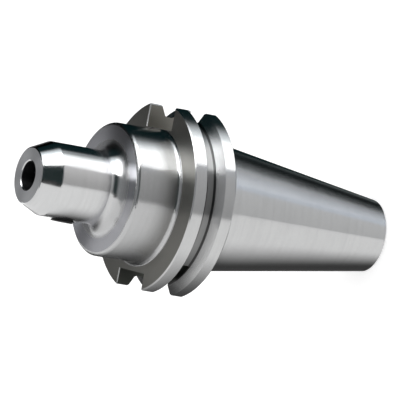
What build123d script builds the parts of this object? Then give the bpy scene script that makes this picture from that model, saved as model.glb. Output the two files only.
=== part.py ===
from build123d import *
import os
from math import asin, cos, degrees, hypot, radians, sin, tan

# Endmill holder with a 40-taper shank, a V-flange and one side-lock set screw.
# Millimetres. The spindle axis is Z, with +Z towards the nose that takes the tool.
# The origin lies on that axis at the gauge line, where the taper is gauge_diameter across.
# The two drive slots lie at +Y and -Y, and the set screw points along -Y.

# Taper shank
gauge_diameter = 44.45
taper_ratio = 7 / 24
shank_length = 68.25
shank_end_chamfer = 0.5

# Relief between the ground taper and the flange
taper_overrun = 0.6
relief_depth = 0.75
relief_root_chamfer = 0.5

# Flange and its 60 degree gripper groove
flange_diameter = 63.5
flange_rear = 3.175
flange_front = 19.05
flange_rear_chamfer = 0.6
flange_front_chamfer = 0.4
groove_centre = 11.11
groove_mouth_width = 7.07
groove_depth = 3.625
groove_angle = 60
groove_root_chamfer = 0.4

# Relief milled in the groove floor beside the shallow drive slot
pocket_depth = 1.6
pocket_overcut = 0.3
pocket_start_angle = -44

# Front boss, turned to the gauge diameter
boss_diameter = gauge_diameter
boss_front = 35.0
boss_edge_radius = 1.2
boss_root_radius = 1.2

# Drive slots, with the rise of each floor above the boss. The rim chamfers break the walls' outer edges.
slot_width = 16.8
deep_slot_rise = 0.475
shallow_slot_rise = 2.775
shallow_slot_angle = -90
slot_edge_chamfer = 0.4
slot_rim_chamfer = 0.6

# Nose
gauge_length = 63.5
nose_diameter = 24.6
nose_root_radius = 4.2
nose_taper_length = 6.4
nose_face_diameter = 18.8
nose_shoulder_chamfer = 0.2
nose_face_edge_chamfer = 0.3

# Tool bore and the clearance passage behind it
bore_diameter = 9.525
bore_depth = 40.0
bore_mouth_chamfer = 0.4
passage_diameter = 7.0
drill_point_angle = 118

# Bore for the retention knob, at its thread's tapping size, with a plain pilot at the mouth
knob_bore_diameter = 13.5
knob_bore_depth = 34.0
pilot_diameter = 16.4
pilot_depth = 5.0
pilot_mouth_chamfer = 0.8

# Side-lock set screw, at its thread's outside diameter
screw_diameter = 7.94
screw_length = 7.94
screw_setback = 15.5
screw_angle = -90
screw_end_chamfer = 0.35
screw_point_diameter = 5.4
screw_point_length = 0.9
screw_running_clearance = 0.05
screw_tip_gap = 0.44
screw_hole_mouth_chamfer = 0.4
screw_hole_mouth_slope = 45
hex_across_flats = 3.97
hex_depth = 4.0

# Heights and radii that follow from the sizes above
shank_end = -shank_length
gauge_radius = gauge_diameter / 2
flange_radius = flange_diameter / 2
groove_floor_radius = flange_radius - groove_depth
groove_half_mouth = groove_mouth_width / 2
groove_half_floor = groove_half_mouth - groove_depth * tan(radians(groove_angle / 2))
boss_radius = boss_diameter / 2
nose_radius = nose_diameter / 2
nose_face_radius = nose_face_diameter / 2
nose_shoulder = gauge_length - nose_taper_length
bore_radius = bore_diameter / 2
bore_end = gauge_length - bore_depth
passage_radius = passage_diameter / 2
knob_bore_radius = knob_bore_diameter / 2
knob_bore_end = shank_end + knob_bore_depth
pilot_radius = pilot_diameter / 2
pilot_end = shank_end + pilot_depth
drill_point_slope = tan(radians(drill_point_angle / 2))
screw_height = gauge_length - screw_setback
screw_hole_radius = screw_diameter / 2 + screw_running_clearance
screw_tip = bore_radius + screw_tip_gap
screw_outward = (cos(radians(screw_angle)), sin(radians(screw_angle)), 0)
screw_inward = (-screw_outward[0], -screw_outward[1], 0)
screw_sideways = (-screw_outward[1], screw_outward[0], 0)


def taper_radius(height):
    """Radius of the ground taper at a height above the gauge line."""
    return gauge_radius + height * taper_ratio / 2


def ring_edges(part, radius, height):
    """Full circles of a given radius about the spindle axis, at a given height."""
    return part.edges().filter_by(
        lambda edge: edge.geom_type == GeomType.CIRCLE
        and abs(edge.radius - radius) < 1e-4
        and abs(edge.arc_center.Z - height) < 1e-4
    )


def slot_wall_edges(part, height):
    """Straight edges where the drive slots' walls meet a flange face at a given height."""
    return part.edges().filter_by(Axis.Y).filter_by(
        lambda edge: abs(abs(edge.center().X) - slot_width / 2) < 1e-4
        and abs(edge.center().Z - height) < 1e-4
    )


def slot_rim_edges(part):
    """Edges along the spindle axis where the drive slots' walls meet the flange's outer surface."""
    return part.edges().filter_by(Axis.Z).filter_by(
        lambda edge: abs(abs(edge.center().X) - slot_width / 2) < 1e-4
        and abs(hypot(edge.center().X, edge.center().Y) - flange_radius) < 1e-4
    )


def on_screw_line(distance):
    """Point on the set screw's centre line at a distance from the spindle axis."""
    return (distance * screw_outward[0], distance * screw_outward[1], screw_height)


relief_radius = taper_radius(taper_overrun) - relief_depth

with BuildPart() as holder_body:
    # Turned blank: taper, relief, grooved flange, boss and nose
    with BuildSketch(Plane.XZ):
        with BuildLine():
            Polyline(
                (0, shank_end),
                (taper_radius(shank_end), shank_end),
                (taper_radius(taper_overrun), taper_overrun),
                (relief_radius, taper_overrun + relief_depth),
                (relief_radius, flange_rear),
                (flange_radius, flange_rear),
                (flange_radius, groove_centre - groove_half_mouth),
                (groove_floor_radius, groove_centre - groove_half_floor),
                (groove_floor_radius, groove_centre + groove_half_floor),
                (flange_radius, groove_centre + groove_half_mouth),
                (flange_radius, flange_front),
                (boss_radius, flange_front),
                (boss_radius, boss_front),
                (nose_radius, boss_front),
                (nose_radius, nose_shoulder),
                (nose_face_radius, gauge_length),
                (0, gauge_length),
                close=True,
            )
        make_face()
    revolve(axis=Axis.Z)

    # Turned corners
    chamfer(ring_edges(holder_body, taper_radius(shank_end), shank_end), shank_end_chamfer)
    chamfer(ring_edges(holder_body, relief_radius, flange_rear), relief_root_chamfer)
    chamfer(ring_edges(holder_body, flange_radius, flange_rear), flange_rear_chamfer)
    for groove_corner in (groove_centre - groove_half_floor, groove_centre + groove_half_floor):
        chamfer(ring_edges(holder_body, groove_floor_radius, groove_corner), groove_root_chamfer)
    chamfer(ring_edges(holder_body, flange_radius, flange_front), flange_front_chamfer)
    fillet(ring_edges(holder_body, boss_radius, flange_front), boss_root_radius)
    fillet(ring_edges(holder_body, boss_radius, boss_front), boss_edge_radius)
    fillet(ring_edges(holder_body, nose_radius, boss_front), nose_root_radius)
    chamfer(ring_edges(holder_body, nose_radius, nose_shoulder), nose_shoulder_chamfer)
    chamfer(ring_edges(holder_body, nose_face_radius, gauge_length), nose_face_edge_chamfer)

    # Tool bore, clearance passage, and the retention knob's tapped bore and pilot
    bore_cone = (bore_radius - passage_radius) / drill_point_slope
    knob_cone = (knob_bore_radius - passage_radius) / drill_point_slope
    with BuildSketch(Plane.XZ):
        with BuildLine():
            Polyline(
                (0, gauge_length),
                (bore_radius + bore_mouth_chamfer, gauge_length),
                (bore_radius, gauge_length - bore_mouth_chamfer),
                (bore_radius, bore_end),
                (passage_radius, bore_end - bore_cone),
                (passage_radius, knob_bore_end + knob_cone),
                (knob_bore_radius, knob_bore_end),
                (knob_bore_radius, pilot_end),
                (pilot_radius, pilot_end),
                (pilot_radius, shank_end + pilot_mouth_chamfer),
                (pilot_radius + pilot_mouth_chamfer, shank_end),
                (0, shank_end),
                close=True,
            )
        make_face()
    revolve(axis=Axis.Z, mode=Mode.SUBTRACT)

    # Drive slots, milled through both collars and through the boss's root radius
    slot_top = flange_front + boss_root_radius
    for direction, rise in ((1, deep_slot_rise), (-1, shallow_slot_rise)):
        with BuildSketch(Plane.XY.offset(flange_rear)):
            with Locations((0, direction * (boss_radius + rise + flange_radius / 2))):
                Rectangle(slot_width, flange_radius)
        extrude(amount=slot_top - flange_rear, mode=Mode.SUBTRACT)
    chamfer(slot_rim_edges(holder_body), slot_rim_chamfer)
    chamfer(slot_wall_edges(holder_body, flange_front), slot_edge_chamfer)
    chamfer(slot_wall_edges(holder_body, flange_rear), slot_edge_chamfer)

    # Relief in the groove floor, running out into the shallow slot
    slot_half_angle = degrees(asin(slot_width / 2 / groove_floor_radius))
    pocket_arc = pocket_start_angle - shallow_slot_angle - slot_half_angle / 2
    pocket_end_angle = radians(pocket_start_angle - pocket_arc)
    pocket_plane = Plane(
        origin=(0, 0, groove_centre),
        x_dir=(cos(pocket_end_angle), sin(pocket_end_angle), 0),
        z_dir=(sin(pocket_end_angle), -cos(pocket_end_angle), 0),
    )
    with BuildSketch(pocket_plane):
        with Locations((groove_floor_radius, 0)):
            Rectangle(2 * pocket_depth, 2 * (groove_half_floor + pocket_overcut))
    revolve(axis=Axis.Z, revolution_arc=pocket_arc, mode=Mode.SUBTRACT)

    # Set screw hole from the tool bore out through the nose, with a countersunk mouth
    with BuildSketch(Plane(origin=on_screw_line(0), z_dir=screw_outward)):
        Circle(screw_hole_radius)
    extrude(amount=nose_radius, mode=Mode.SUBTRACT)
    with BuildSketch(Plane(origin=on_screw_line(nose_radius), z_dir=screw_inward)):
        Circle(screw_hole_radius + screw_hole_mouth_chamfer)
    extrude(amount=screw_hole_mouth_chamfer, taper=screw_hole_mouth_slope, mode=Mode.SUBTRACT)

# The screw stands in its hole with its point just clear of the tool bore
screw_origin = on_screw_line(screw_tip)
screw_axis = Axis(origin=screw_origin, direction=screw_outward)
screw_outer_end = Plane(
    origin=on_screw_line(screw_tip + screw_length), x_dir=screw_sideways, z_dir=screw_inward
)

with BuildPart() as set_screw:
    # Threaded length with chamfered ends and a flat point that bears on the tool's flat
    with BuildSketch(Plane(origin=screw_origin, x_dir=screw_sideways, z_dir=(0, 0, -1))):
        with BuildLine():
            Polyline(
                (0, 0),
                (screw_point_diameter / 2, 0),
                (screw_diameter / 2, screw_point_length),
                (screw_diameter / 2, screw_length - screw_end_chamfer),
                (screw_diameter / 2 - screw_end_chamfer, screw_length),
                (0, screw_length),
                close=True,
            )
        make_face()
    revolve(axis=screw_axis)

    # Hexagon socket in the outer end
    with BuildSketch(screw_outer_end):
        RegularPolygon(radius=hex_across_flats / 2, side_count=6, major_radius=False)
    extrude(amount=hex_depth, mode=Mode.SUBTRACT)

holder_body.part.label = "holder_body"
set_screw.part.label = "set_screw"

os.makedirs("parts", exist_ok=True)
export_step(holder_body.part, "parts/holder_body.step")
export_step(set_screw.part, "parts/set_screw.step")
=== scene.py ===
from math import cos, pi, radians, sin

import bpy
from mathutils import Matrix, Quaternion, Vector


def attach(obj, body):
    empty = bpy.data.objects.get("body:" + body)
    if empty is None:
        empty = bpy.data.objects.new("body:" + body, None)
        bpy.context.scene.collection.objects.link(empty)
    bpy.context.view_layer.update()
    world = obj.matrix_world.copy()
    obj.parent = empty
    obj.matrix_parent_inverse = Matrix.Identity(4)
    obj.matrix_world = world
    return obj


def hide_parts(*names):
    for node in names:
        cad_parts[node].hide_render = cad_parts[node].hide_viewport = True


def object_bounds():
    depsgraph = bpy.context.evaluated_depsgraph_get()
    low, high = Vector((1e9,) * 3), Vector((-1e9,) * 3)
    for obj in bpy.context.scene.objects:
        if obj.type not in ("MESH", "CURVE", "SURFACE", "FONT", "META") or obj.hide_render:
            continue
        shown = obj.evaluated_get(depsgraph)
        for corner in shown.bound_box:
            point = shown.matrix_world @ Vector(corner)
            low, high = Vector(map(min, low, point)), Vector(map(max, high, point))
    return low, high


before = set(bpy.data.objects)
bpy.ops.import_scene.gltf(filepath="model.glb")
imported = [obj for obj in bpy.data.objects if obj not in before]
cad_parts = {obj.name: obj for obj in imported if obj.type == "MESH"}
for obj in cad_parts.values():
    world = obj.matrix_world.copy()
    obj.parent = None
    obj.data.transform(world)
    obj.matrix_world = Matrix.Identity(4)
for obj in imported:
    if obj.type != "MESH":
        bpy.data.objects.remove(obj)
cad_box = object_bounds()

# Lengths are in metres, or in millimetres where a name ends in MM or mm or a comment says so.
# The spindle axis is Z, with +Z towards the nose. The holder stands on the small end of its taper.
MM = 0.001

# Sizes of the holder that the materials and the added pieces follow
TAPER_TOP_MM = 0.6
FLANGE_REAR_MM = 3.175
FLANGE_FRONT_MM = 19.05
FLANGE_RADIUS_MM = 31.75
FLANGE_CHAMFER_MM = 0.4
GROOVE_CENTRE_MM = 11.11
GROOVE_FLOOR_RADIUS_MM = 28.125
GROOVE_HALF_FLOOR_MM = 1.442
SLOT_HALF_WIDTH_MM = 8.4
SLOT_FLOOR_MM = 22.7
SHALLOW_SLOT_FLOOR_MM = 25.0
BOSS_RADIUS_MM = 22.225
BOSS_FRONT_MM = 35.0
BOSS_ROOT_MM = 1.2
BOSS_EDGE_MM = 1.2
NOSE_RADIUS_MM = 12.3
NOSE_ROOT_MM = 4.2
NOSE_FACE_MM = 63.5
NOSE_FACE_RADIUS_MM = 9.4
NOSE_FACE_CHAMFER_MM = 0.3
BORE_RADIUS_MM = 4.7625
BORE_CHAMFER_MM = 0.4
PILOT_RADIUS_MM = 8.2
PILOT_END_MM = -63.25

# Where the finish changes from zone to zone. A fade starts and ends at two distances from its edge.
SOFT_MM = 0.05
FACE_HALF_BAND_MM = 0.12
FACE_SOFT_MM = 0.08
BOSS_FADE_MM = (0.1, 0.3)
NOSE_FADE_MM = (1.0, 4.0)
TAPER_FADE_MM = (-0.05, 0.05)
SLOT_WALL_FADE_MM = (0.02, 0.08)
SLOT_FRONT_MARGIN_MM = 1.3
DEEP_SLOT_FADE_MM = (-0.1, -0.02)
SHALLOW_SLOT_FADE_MM = (0.02, 0.1)
GROOVE_HALF_BAND_MM = 1.9
GROOVE_FADE_MM = (0.5, 0.6)
GROOVE_CORNER_MM = (-0.3, 0.35)
RELIEF_FADE_MM = (-0.1, -0.03)
BORE_FADE_MM = (0.05, 0.15)
PILOT_FADE_MM = (0.1, 0.3)
PILOT_END_FADE_MM = (0.0, 0.1)

# Patterns in the steel: noise cells per millimetre, and how much a pattern still changes along
# its marks
NOISE_LOW = 0.3
NOISE_HIGH = 0.7
MARKS_PER_MM = 6.0
BROAD_MARKS_PER_MM = 0.5
CLOUDS_PER_MM = 0.1
GRAINS_PER_MM = 5.0
MILL_MARKS_PER_MM = 5.0
MARK_RADIUS_SHARE = 0.8
TURNED_DRIFT = 0.02
MILLED_DRIFT = 0.04
MARK_HEIGHT = 0.03 * MM
MARK_STRENGTH = 0.03
GROUND_MARK_SHARE = 0.3
BOSS_FACE_LEAN = 0.04

# Set screw
SCREW_RADIUS = 3.97 * MM
SCREW_LENGTH = 7.94 * MM
SCREW_TIP = 5.2025 * MM
SCREW_HEIGHT = 48.0 * MM
SCREW_POINT_RADIUS = 2.7 * MM
SCREW_POINT_LENGTH = 0.9 * MM
SCREW_END_CHAMFER = 0.35 * MM
THREAD_PITCH = 25.4 / 24 * MM
THREAD_DEPTH = 0.5 * MM
THREAD_CREST_SHARE = 0.12
THREAD_FLANK_SHARE = 0.76
HEX_HALF_FLATS = 1.985 * MM
HEX_DEPTH = 4.0 * MM
HEX_DRILL_DEPTH = 0.5 * MM
SCREW_SEGMENTS = 96
RINGS_PER_PITCH = 12
SPECKLES_PER_M = 1400.0
OXIDE_CLOUDS_PER_M = 260.0
SPECKLE_HEIGHT = 0.03 * MM


class Net:
    """Short calls for making and linking the nodes of one shader tree."""

    def __init__(self, tree):
        self.tree = tree
        tree.nodes.clear()

    def put(self, value, socket):
        if isinstance(value, bpy.types.NodeSocket):
            self.tree.links.new(value, socket)
        elif value is not None:
            socket.default_value = value

    def node(self, kind, inputs=None, **settings):
        made = self.tree.nodes.new(kind)
        for name, value in settings.items():
            setattr(made, name, value)
        for name, value in (inputs or {}).items():
            self.put(value, made.inputs[name])
        return made

    def math(self, operation, *values):
        made = self.node("ShaderNodeMath", operation=operation)
        for socket, value in zip(made.inputs, values):
            self.put(value, socket)
        return made.outputs[0]

    def chain(self, operation, values):
        """Applies an operation to the first two values, then to the result and the third, and on."""
        made = values[0]
        for value in values[1:]:
            made = self.math(operation, made, value)
        return made

    def both(self, *masks):
        return self.chain("MULTIPLY", masks)

    def either(self, *masks):
        return self.chain("MAXIMUM", masks)

    def total(self, *values):
        return self.chain("ADD", values)

    def vector(self, x, y, z):
        return self.node("ShaderNodeCombineXYZ", {"X": x, "Y": y, "Z": z}).outputs[0]

    def vector_math(self, operation, inputs, output=0):
        return self.node("ShaderNodeVectorMath", inputs, operation=operation).outputs[output]

    def place_mm(self):
        """Place on the object in millimetres, as one vector."""
        place = self.node("ShaderNodeTexCoord").outputs["Object"]
        return self.vector_math("SCALE", {0: place, "Scale": 1 / MM})

    def split(self, vector):
        return self.node("ShaderNodeSeparateXYZ", {0: vector}).outputs

    def ramp(self, value, low, high, start=0.0, end=1.0):
        """Runs smoothly from start to end while the value goes from low to high."""
        return self.node(
            "ShaderNodeMapRange",
            {"Value": value, "From Min": low, "From Max": high, "To Min": start, "To Max": end},
            interpolation_type="SMOOTHSTEP",
        ).outputs["Result"]

    def past(self, value, edge, fade):
        """0 before the edge and 1 past it, with the fade's distances from that edge."""
        return self.ramp(value, edge + fade[0], edge + fade[1])

    def before(self, value, edge, fade):
        """1 before the edge and 0 past it, with the fade's distances from that edge."""
        return self.ramp(value, edge + fade[0], edge + fade[1], 1.0, 0.0)

    def band(self, value, low, high, soft):
        """1 while the value lies between low and high, 0 outside, with soft edges."""
        fade = (-soft, soft)
        return self.both(self.past(value, low, fade), self.before(value, high, fade))

    def noise(self, vector, scale, detail=2.0, roughness=0.5):
        return self.node(
            "ShaderNodeTexNoise",
            {"Vector": vector, "Scale": scale, "Detail": detail, "Roughness": roughness},
        ).outputs["Fac"]

    def spread(self, pattern, middle, amount):
        """Follows a noise pattern from an amount below the middle value to that amount above it."""
        return self.ramp(pattern, NOISE_LOW, NOISE_HIGH, middle - amount, middle + amount)

    def mix(self, factor, first, second):
        made = self.node("ShaderNodeMix", {"Factor": factor}, data_type="RGBA")
        self.put(first, made.inputs[6])
        self.put(second, made.inputs[7])
        return made.outputs[2]

    def layers(self, base, *zones):
        """A number or a colour that takes each zone's own value where that zone's mask is 1."""
        made = base
        for mask, value in zones:
            if isinstance(value, tuple):
                made = self.mix(mask, made, value)
            else:
                kept = self.math("MULTIPLY", made, self.math("SUBTRACT", 1.0, mask))
                made = self.math("MULTIPLY_ADD", mask, value, kept)
        return made

    def surface(self, shader):
        self.node("ShaderNodeOutputMaterial", {"Surface": shader.outputs[0]})


def new_material(name):
    made = bpy.data.materials.new(name)
    made.use_nodes = True
    return made, Net(made.node_tree)


def holder_steel():
    """Hardened steel: glossier where it is ground, duller where it was only turned or milled.

    Its colour is painted a little lighter on the nose and a little darker on the boss, as light
    and shade. The groove's rear corner, the relief in the groove floor, the shallow drive slot and
    the bores are painted nearly black, as the shade in these creases and hollows. The faces, the
    groove floor and the deep drive slot are darker than the rest, and the flange's front face
    darker and browner still.

    Places and radii in here are in millimetres.
    """
    material, net = new_material("holder_steel")
    place = net.place_mm()
    x, y, z = net.split(place)
    outward = net.vector(x, y, 0.0)
    radius = net.vector_math("LENGTH", {0: outward}, "Value")

    def face(height, inner, outer):
        """A flat ring that faces along the axis."""
        return net.both(
            net.band(z, height - FACE_HALF_BAND_MM, height + FACE_HALF_BAND_MM, SOFT_MM),
            net.band(radius, inner, outer, FACE_SOFT_MM),
        )

    # Zones of the surface
    flange_rim = FLANGE_RADIUS_MM - FLANGE_CHAMFER_MM
    flange_face = face(FLANGE_FRONT_MM, BOSS_RADIUS_MM + BOSS_ROOT_MM, flange_rim)
    boss_rim = BOSS_RADIUS_MM - BOSS_EDGE_MM
    boss_face = face(BOSS_FRONT_MM, NOSE_RADIUS_MM + NOSE_ROOT_MM, boss_rim)
    nose_rim = NOSE_FACE_RADIUS_MM - NOSE_FACE_CHAMFER_MM
    nose_face = face(NOSE_FACE_MM, BORE_RADIUS_MM + BORE_CHAMFER_MM, nose_rim)
    boss = net.past(z, FLANGE_FRONT_MM, BOSS_FADE_MM)
    nose = net.past(z, BOSS_FRONT_MM, NOSE_FADE_MM)
    taper = net.before(z, TAPER_TOP_MM, TAPER_FADE_MM)
    between_walls = net.both(
        net.before(net.math("ABSOLUTE", x), SLOT_HALF_WIDTH_MM, SLOT_WALL_FADE_MM),
        net.band(z, FLANGE_REAR_MM, FLANGE_FRONT_MM + SLOT_FRONT_MARGIN_MM, SOFT_MM),
    )
    past_deep_floor = net.past(y, SLOT_FLOOR_MM, DEEP_SLOT_FADE_MM)
    in_deep_slot = net.both(between_walls, past_deep_floor)
    past_shallow_floor = net.before(y, -SHALLOW_SLOT_FLOOR_MM, SHALLOW_SLOT_FADE_MM)
    in_shallow_slot = net.both(between_walls, past_shallow_floor)
    in_slot = net.either(in_deep_slot, in_shallow_slot)
    in_groove = net.before(radius, GROOVE_FLOOR_RADIUS_MM, GROOVE_FADE_MM)
    groove_rear = GROOVE_CENTRE_MM - GROOVE_HALF_BAND_MM
    groove_front = GROOVE_CENTRE_MM + GROOVE_HALF_BAND_MM
    groove_floor = net.both(net.band(z, groove_rear, groove_front, SOFT_MM), in_groove)
    corner = GROOVE_CENTRE_MM - GROOVE_HALF_FLOOR_MM
    corner_rear, corner_front = (corner + distance for distance in GROOVE_CORNER_MM)
    groove_corner_shade = net.both(net.band(z, corner_rear, corner_front, SOFT_MM), in_groove)
    below_floor = net.before(radius, GROOVE_FLOOR_RADIUS_MM, RELIEF_FADE_MM)
    groove_relief_shade = net.both(groove_floor, below_floor)
    bores = net.both(
        net.before(radius, PILOT_RADIUS_MM, PILOT_FADE_MM),
        net.either(
            net.before(radius, BORE_RADIUS_MM, BORE_FADE_MM),
            net.before(z, PILOT_END_MM, PILOT_END_FADE_MM),
        ),
    )

    # Turning and grinding marks run round the axis: their pattern depends on height and radius, and
    # hardly on the angle. Milling marks in the drive slots run along the axis.
    across = net.math("ADD", z, net.math("MULTIPLY", radius, MARK_RADIUS_SHARE))
    slow_x = net.math("MULTIPLY", x, TURNED_DRIFT)
    slow_y = net.math("MULTIPLY", y, TURNED_DRIFT)
    turned_place = net.vector(across, slow_x, slow_y)
    marks = net.noise(turned_place, MARKS_PER_MM, 3.0, 0.6)
    broad = net.noise(turned_place, BROAD_MARKS_PER_MM)
    cloud = net.noise(place, CLOUDS_PER_MM)
    grain = net.noise(place, GRAINS_PER_MM)
    milled_place = net.vector(x, y, net.math("MULTIPLY", z, MILLED_DRIFT))
    milled = net.noise(milled_place, MILL_MARKS_PER_MM, 3.0, 0.6)

    colour = net.layers(
        (0.6, 0.6, 0.603, 1.0),
        # Painted shade on the boss and painted light on the nose, both the same steel as the rest
        (boss, (0.54, 0.54, 0.545, 1.0)),
        (nose, (0.645, 0.645, 0.65, 1.0)),
        (flange_face, (0.23, 0.225, 0.209, 1.0)),
        (boss_face, (0.5, 0.5, 0.528, 1.0)),
        (nose_face, (0.57, 0.575, 0.585, 1.0)),
        (groove_floor, (0.27, 0.27, 0.27, 1.0)),
        # Painted shade: a nearly black line along the groove's rear corner
        (groove_corner_shade, (0.06, 0.06, 0.06, 1.0)),
        # Painted shade in the relief pocket of the groove floor
        (groove_relief_shade, (0.08, 0.083, 0.077, 1.0)),
        (in_deep_slot, (0.33, 0.318, 0.29, 1.0)),
        # Painted shade: the shallow drive slot nearly black, though milled like the deep one
        (in_shallow_slot, (0.09, 0.094, 0.085, 1.0)),
        # Painted shade inside the bores
        (bores, (0.05, 0.052, 0.055, 1.0)),
    )
    shade = net.both(
        net.spread(cloud, 1.0, 0.015),
        net.spread(broad, 1.0, 0.015),
        net.spread(marks, 1.0, 0.02),
        net.spread(grain, 1.0, 0.04),
    )
    roughness = net.layers(
        0.23,
        (nose, 0.18),
        (taper, 0.19),
        (flange_face, 0.42),
        (boss_face, 0.3),
        (nose_face, 0.3),
        (groove_floor, 0.3),
        (in_slot, 0.34),
        (bores, 0.4),
    )
    anisotropy = net.layers(
        1.0, (nose, 0.8), (taper, 0.8), (flange_face, 0.3), (in_slot, 0.0), (bores, 0.5)
    )

    # The marks are deeper where the steel was not ground
    machined = net.either(flange_face, boss_face, nose_face, in_slot, groove_floor, bores)
    to_milled = net.math("MULTIPLY", in_slot, net.math("SUBTRACT", milled, marks))
    pattern = net.math("ADD", marks, to_milled)
    height = net.math("MULTIPLY", pattern, net.math("ADD", GROUND_MARK_SHARE, machined))
    bump = net.node(
        "ShaderNodeBump", {"Strength": MARK_STRENGTH, "Distance": MARK_HEIGHT, "Height": height}
    ).outputs[0]

    # The boss's face is turned very slightly domed
    unit_outward = net.vector_math("NORMALIZE", {0: outward})
    lean_amount = net.math("MULTIPLY", boss_face, BOSS_FACE_LEAN)
    lean = net.vector_math("SCALE", {0: unit_outward, "Scale": lean_amount})
    normal = net.vector_math("NORMALIZE", {0: net.vector_math("ADD", {0: bump, 1: lean})})
    round_axis = net.vector(net.math("MULTIPLY", y, -1.0), x, 0.0)
    shader = net.node(
        "ShaderNodeBsdfPrincipled",
        {
            "Base Color": net.vector_math("SCALE", {0: colour, "Scale": shade}),
            "Metallic": 1.0,
            "Roughness": net.math("ADD", roughness, net.spread(marks, 0.0, 0.012)),
            "Anisotropic": anisotropy,
            "Anisotropic Rotation": 0.25,
            "Normal": normal,
            "Tangent": round_axis,
        },
    )
    net.surface(shader)
    return material


def screw_steel():
    """Black oxide on the set screw, worn a little grey in places."""
    material, net = new_material("black_oxide")
    place = net.node("ShaderNodeTexCoord").outputs["Object"]
    speckle = net.noise(place, SPECKLES_PER_M, 3.0, 0.6)
    cloud = net.noise(place, OXIDE_CLOUDS_PER_M)
    wear = net.ramp(cloud, 0.35, 0.75)
    bump = net.node(
        "ShaderNodeBump", {"Strength": 0.2, "Distance": SPECKLE_HEIGHT, "Height": speckle}
    )
    shader = net.node(
        "ShaderNodeBsdfPrincipled",
        {
            "Base Color": net.mix(wear, (0.022, 0.022, 0.024, 1.0), (0.06, 0.058, 0.056, 1.0)),
            "Metallic": 0.6,
            "Roughness": net.spread(speckle, 0.41, 0.09),
            "Normal": bump.outputs[0],
        },
    )
    net.surface(shader)
    return material


def mesh_piece(name, points, faces, material, sharp_angle=30):
    mesh = bpy.data.meshes.new(name)
    mesh.from_pydata(points, [], faces)
    mesh.validate()
    mesh.polygons.foreach_set("use_smooth", [True] * len(mesh.polygons))
    mesh.set_sharp_from_angle(angle=radians(sharp_angle))
    mesh.materials.append(material)
    piece = bpy.data.objects.new(name, mesh)
    bpy.context.scene.collection.objects.link(piece)
    return piece


def ring_faces(ring_count, segments):
    """Quads between neighbouring rings, closed by a fan to a centre point at each end."""
    faces = []
    first_centre = ring_count * segments
    last_centre = first_centre + 1
    last_ring = (ring_count - 1) * segments
    for step in range(segments):
        following = (step + 1) % segments
        faces.append((first_centre, following, step))
        faces.append((last_centre, last_ring + step, last_ring + following))
        for ring in range(ring_count - 1):
            lower = ring * segments
            upper = lower + segments
            faces.append((lower + step, lower + following, upper + following, upper + step))
    return faces


def hexagon_radius(angle):
    """Distance from the centre to the socket's wall in one direction."""
    sector = radians(60)
    return HEX_HALF_FLATS / cos((angle % sector) - sector / 2)


def screw_outline(depth):
    """Radius of the screw's plain form at a distance from its tip."""
    if depth < SCREW_POINT_LENGTH:
        share = depth / SCREW_POINT_LENGTH
        return SCREW_POINT_RADIUS + share * (SCREW_RADIUS - SCREW_POINT_RADIUS)
    return min(SCREW_RADIUS, SCREW_RADIUS - SCREW_END_CHAMFER + SCREW_LENGTH - depth)


def thread_radius(depth, angle):
    """Radius of the thread. Its crest is the screw's plain form, and its root is cut below that."""
    turn = depth / THREAD_PITCH - angle / (2 * pi)
    away_from_crest = abs(turn - round(turn)) * 2
    flank = min(1.0, max(0.0, (away_from_crest - THREAD_CREST_SHARE) / THREAD_FLANK_SHARE))
    return SCREW_RADIUS - THREAD_DEPTH * flank


def threaded_screw(material):
    """The set screw with its thread and hexagon socket, on the CAD screw's own place and form."""
    angles = [2 * pi * step / SCREW_SEGMENTS for step in range(SCREW_SEGMENTS)]
    ring_count = round(SCREW_LENGTH / THREAD_PITCH * RINGS_PER_PITCH)
    points = []

    def add(depth, angle=0.0, radius=0.0):
        points.append(
            (radius * cos(angle), -SCREW_TIP - depth, SCREW_HEIGHT + radius * sin(angle))
        )

    for ring in range(ring_count + 1):
        depth = SCREW_LENGTH * ring / ring_count
        for angle in angles:
            add(depth, angle, min(screw_outline(depth), thread_radius(depth, angle)))
    socket_floor = SCREW_LENGTH - HEX_DEPTH
    for depth in (SCREW_LENGTH, socket_floor):
        for angle in angles:
            add(depth, angle, hexagon_radius(angle))
    add(0.0)
    add(socket_floor - HEX_DRILL_DEPTH)
    faces = ring_faces(ring_count + 3, SCREW_SEGMENTS)
    piece = mesh_piece("threaded_set_screw", points, faces, material)
    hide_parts("set_screw")
    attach(piece, "screw")


def dress_holder():
    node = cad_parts["holder_body"]
    node.data.materials.clear()
    node.data.materials.append(holder_steel())


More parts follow.
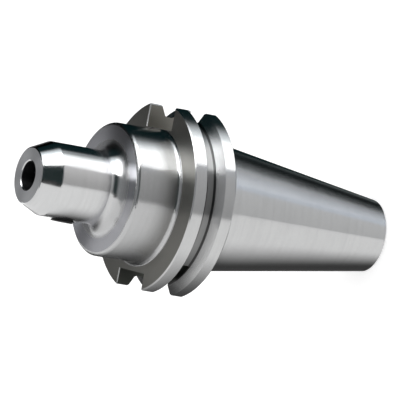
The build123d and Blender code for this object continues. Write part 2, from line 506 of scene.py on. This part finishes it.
# Studio. A direction is an azimuth from +X towards +Y and an elevation above the horizon, in degrees.
# The cards stand in for the dark and bright things that a studio shows to polished steel. Each has
# azimuths, elevations, the brightness at its first and its last azimuth, and a tint.
CARD_STEPS = 24
CARD_DISTANCE = 3.0
CARDS = {
    "dark_ceiling": ((111, 172), (-36, 62), (0.02, 0.012), (0.25, 0.9, 1.0)),
    "dark_ceiling_end": ((172, 190), (-36, 6), (0.012, 0.012), (0.25, 0.9, 1.0)),
    "ceiling_foot": ((98, 138), (-76, -34), (0.005, 0.004), (0.5, 1.0, 1.0)),
    "ceiling_foot_end": ((138, 178), (-76, -36), (0.006, 0.45), (0.9, 1.0, 1.0)),
    "softbox": ((51, 88), (-35, 22), (4.0, 3.2), (0.985, 1.0, 1.0)),
    "softbox_edge": ((88, 111), (-35, 22), (2.0, 0.05), (0.9, 0.97, 1.0)),
    "softbox_top": ((51, 88), (22, 48), (7.0, 6.0), (0.985, 1.0, 1.0)),
    "softbox_top_edge": ((88, 108), (22, 48), (6.0, 1.0), (0.95, 0.98, 1.0)),
    "softbox_foot": ((48, 98), (-76, -35), (0.98, 0.13), (0.84, 0.91, 1.0)),
    "grey_wall": ((-9, 51), (-42, -5), (0.38, 0.6), (0.97, 0.99, 1.0)),
    "grey_wall_foot": ((-9, 48), (-76, -42), (0.68, 0.75), (0.99, 1.0, 1.0)),
    "camera_side": ((-22, 51), (-5, 38), (0.02, 0.02), (0.4, 1.0, 1.0)),
    "camera_side_top": ((-22, 51), (38, 62), (0.45, 0.45), (0.95, 0.98, 1.0)),
    "camera_side_low": ((-105, -22), (26, 62), (0.35, 0.25), (0.97, 0.99, 1.0)),
    "far_side": ((-165, -105), (24, 62), (0.06, 0.4), (0.95, 1.0, 0.97)),
    "far_side_foot": ((-172, -105), (0, 24), (0.8, 0.85), (0.97, 0.99, 1.0)),
    "back_wall": ((172, 188), (6, 62), (0.4, 0.4), (0.97, 0.98, 1.0)),
    "zenith": ((-180, 180), (62, 90), (0.3, 0.3), (0.95, 0.98, 1.0)),
}

# Closer cards, which only the nose's cylinder shows
NOSE_CARD_DISTANCE = 0.12
NOSE_CARDS = {
    "nose_grey": ((-9, 51), (-10.5, 3), (0.46, 0.85), (1.0, 0.99, 0.98)),
    "nose_softbox": ((51, 80), (-10.5, 3), (1.0, 1.6), (0.985, 1.0, 1.0)),
    "nose_softbox_edge": ((80, 99), (-10.5, 3), (1.5, 0.05), (0.95, 0.99, 1.0)),
}

# Two flat cards whose light changes from place to place. Each ramp gives the places, in millimetres,
# where it starts and ends, and its values there.
TABLE_Y_MM = -FLANGE_RADIUS_MM - 2.0
TABLE_X_SPAN_MM = (-200, 200)
TABLE_Z_SPAN_MM = (-200, 150)
TABLE_TINT = (0.99, 0.995, 0.99)
SHADOW_EDGE_Z_RAMPS = ((-25.0, -2.0, 13.0, 23.0), (4.0, 32.0, 0.0, -24.0), (36.0, 54.0, 0.0, -70.0))
SHADOW_TO_LIGHT_RAMP = (-17.0, 22.0, 0.055, 0.96)
FAR_X_RAMP, FAR_Z_RAMP = (-95.0, -35.0, 0.5, 0.0), (-100.0, -20.0, 1.0, 0.2)
BESIDE_NOSE_X_RAMP, BESIDE_NOSE_Z_RAMP = (-65.0, -30.0, 0.8, 0.0), (5.0, 30.0)
FRONT_END_X_RAMP, FRONT_END_Z_RAMP = (108.0, 118.0), (60.0, 70.0)
FRONT_END_LIGHT = 0.01

BACK_CARD_X_MM = -60
BACK_CARD_Y_SPAN_MM = (-70, 70)
BACK_CARD_Z_SPAN_MM = (20, 125)
BACK_CARD_TINT = (0.97, 0.98, 1.0)
BACK_LIGHT = 0.2
UPPER_Z_RAMP = (54.0, 70.0, 0.0, 0.3)
SIDE_Y_RAMPS = ((7.0, 21.0, 1.0, -0.7), (-42.0, -22.0, 1.6, 0.0))
MIDDLE_Y_RAMPS = ((-24.0, -16.0, 0.0, -0.55), (1.0, 7.0, 1.0, 0.0))
TOP_FADE_Y_RAMP = (29.0, 37.0, 1.0, 0.0)

FLOOR_SIZE = 12.0
FLOOR_COLOUR = (0.85, 0.85, 0.85, 1.0)
FLOOR_LIFT = 0.4


def direction(azimuth, elevation):
    a, e = radians(azimuth), radians(elevation)
    return Vector((cos(a) * cos(e), sin(a) * cos(e), sin(e)))


def card_material(name, start, end, tint):
    """Glows evenly, or from one brightness to another along the card."""
    material, net = new_material(name)
    along = net.node("ShaderNodeAttribute", attribute_name="along").outputs["Fac"]
    brightness = net.node("ShaderNodeMapRange", {"Value": along, "To Min": start, "To Max": end})
    strength = brightness.outputs["Result"]
    net.surface(net.node("ShaderNodeEmission", {"Color": (*tint, 1.0), "Strength": strength}))
    return material


def only_reflected(card):
    card.visible_camera = False
    card.visible_diffuse = False
    card.visible_shadow = False
    card.visible_transmission = False


def studio_card(name, distance, azimuths, elevations, brightness, tint):
    """A curved card round the holder, seen only in its reflections."""
    points, faces, along = [], [], []
    rows = CARD_STEPS + 1
    for step in range(CARD_STEPS + 1):
        share = step / CARD_STEPS
        azimuth = azimuths[0] + share * (azimuths[1] - azimuths[0])
        for row in range(rows):
            elevation = elevations[0] + row / CARD_STEPS * (elevations[1] - elevations[0])
            points.append(direction(azimuth, elevation) * distance)
            along.append(share)
    for step in range(CARD_STEPS):
        for row in range(CARD_STEPS):
            corner = step * rows + row
            faces.append((corner, corner + 1, corner + rows + 1, corner + rows))
    card = mesh_piece(name, points, faces, card_material(name, *brightness, tint))
    card.data.attributes.new("along", "FLOAT", "POINT").data.foreach_set("value", along)
    only_reflected(card)


def rectangle(low, high):
    """Corners in order, from each pair's first values to its second."""
    return (low[0], low[1]), (high[0], low[1]), (high[0], high[1]), (low[0], high[1])


def near_card(name, corners_mm, light_from_place, tint):
    """A flat card close to the holder, seen only in its reflections."""
    material, net = new_material(name)
    strength = light_from_place(net, *net.split(net.place_mm()))
    net.surface(net.node("ShaderNodeEmission", {"Color": (*tint, 1.0), "Strength": strength}))
    corners = [Vector(corner) * MM for corner in corners_mm]
    only_reflected(mesh_piece(name, corners, [(0, 1, 2, 3)], material))


def table_light(net, x, _, z):
    """White where light reaches the table, dark in the holder's shadow, which the flange widens."""
    shadow_edge = net.total(*(net.ramp(z, *ramp) for ramp in SHADOW_EDGE_Z_RAMPS))
    lit = net.ramp(net.math("SUBTRACT", x, shadow_edge), *SHADOW_TO_LIGHT_RAMP)
    far = net.both(net.ramp(x, *FAR_X_RAMP), net.ramp(z, *FAR_Z_RAMP))
    beside_nose = net.both(net.ramp(x, *BESIDE_NOSE_X_RAMP), net.ramp(z, *BESIDE_NOSE_Z_RAMP))
    light = net.math("ADD", lit, net.either(far, beside_nose))
    front_end = net.both(net.ramp(x, *FRONT_END_X_RAMP), net.ramp(z, *FRONT_END_Z_RAMP))
    return net.both(light, net.ramp(front_end, 0.0, 1.0, 1.0, FRONT_END_LIGHT))


def studio_table():
    """The table on which the photographed holder lies, close under the flange."""
    (x_low, x_high), (z_low, z_high) = TABLE_X_SPAN_MM, TABLE_Z_SPAN_MM
    outline = rectangle((x_low, z_low), (x_high, z_high))
    corners_mm = [(x_mm, TABLE_Y_MM, z_mm) for x_mm, z_mm in outline]
    near_card("table", corners_mm, table_light, TABLE_TINT)


def back_card_light(net, _, y, z):
    """Dark behind the flange, lighter behind the boss and the nose."""
    side = net.total(*(net.ramp(y, *ramp) for ramp in SIDE_Y_RAMPS))
    middle = net.both(*(net.ramp(y, *ramp) for ramp in MIDDLE_Y_RAMPS))
    added = net.both(net.ramp(z, *UPPER_Z_RAMP), net.math("ADD", side, middle))
    level = net.math("MAXIMUM", 0.0, net.math("ADD", BACK_LIGHT, added))
    return net.both(level, net.ramp(y, *TOP_FADE_Y_RAMP))


def studio_back_card():
    """A card close behind the holder, which its flat faces show."""
    (y_low, y_high), (z_low, z_high) = BACK_CARD_Y_SPAN_MM, BACK_CARD_Z_SPAN_MM
    outline = rectangle((y_low, z_low), (y_high, z_high))
    corners_mm = [(BACK_CARD_X_MM, y_mm, z_mm) for y_mm, z_mm in outline]
    near_card("back_card", corners_mm, back_card_light, BACK_CARD_TINT)


def studio_floor():
    """White floor at the height of the taper's small end. It keeps the holder's soft shadow."""
    half = FLOOR_SIZE / 2
    height = cad_box[0].z
    material, net = new_material("floor_white")
    rays = net.node("ShaderNodeLightPath").outputs
    shown = net.either(rays["Is Camera Ray"], rays["Is Glossy Ray"], rays["Is Transmission Ray"])
    paint = net.node("ShaderNodeBsdfDiffuse", {"Color": FLOOR_COLOUR})
    glow = net.node("ShaderNodeEmission", {"Strength": net.math("MULTIPLY", shown, FLOOR_LIFT)})
    net.surface(net.node("ShaderNodeAddShader", {0: paint.outputs[0], 1: glow.outputs[0]}))
    corners = [(x, y, height) for x, y in rectangle((-half, -half), (half, half))]
    floor = mesh_piece("floor", corners, [(0, 1, 2, 3)], material)
    floor.visible_glossy = False


def studio_world():
    world = bpy.data.worlds.new("studio")
    bpy.context.scene.world = world
    world.use_nodes = True
    net = Net(world.node_tree)
    light = net.node("ShaderNodeBackground", {"Color": (1.0, 1.0, 1.0, 1.0), "Strength": 1.0})
    net.node("ShaderNodeOutputWorld", {"Surface": light.outputs[0]})


# Camera at the photograph's viewing angle. It is rolled, because the photograph shows the holder
# lying down.
CAMERA_AZIMUTH = 1.396
CAMERA_ELEVATION = 29.875
CAMERA_ROLL = -79.859
CAMERA_DISTANCE = 1.5263
CAMERA_TARGET = Vector((-0.046, 1.908, -1.544)) * MM
CAMERA_LENS = 414.178
CAMERA_SENSOR = 36.0


def studio_camera():
    camera = bpy.data.objects.new("camera", bpy.data.cameras.new("camera"))
    bpy.context.scene.collection.objects.link(camera)
    camera.data.lens = CAMERA_LENS
    camera.data.sensor_width = CAMERA_SENSOR
    camera.data.clip_start = 0.1
    camera.data.clip_end = 50.0
    back = direction(CAMERA_AZIMUTH, CAMERA_ELEVATION)
    camera.location = CAMERA_TARGET + back * CAMERA_DISTANCE
    camera.rotation_mode = "QUATERNION"
    upright = (-back).to_track_quat("-Z", "Y")
    camera.rotation_quaternion = upright @ Quaternion((0.0, 0.0, 1.0), radians(CAMERA_ROLL))
    bpy.context.scene.camera = camera


dress_holder()
threaded_screw(screw_steel())
for card_name, card in CARDS.items():
    studio_card(card_name, CARD_DISTANCE, *card)
for card_name, card in NOSE_CARDS.items():
    studio_card(card_name, NOSE_CARD_DISTANCE, *card)
studio_table()
studio_back_card()
studio_floor()
studio_world()
studio_camera()
bpy.context.scene.view_settings.view_transform = "Standard"
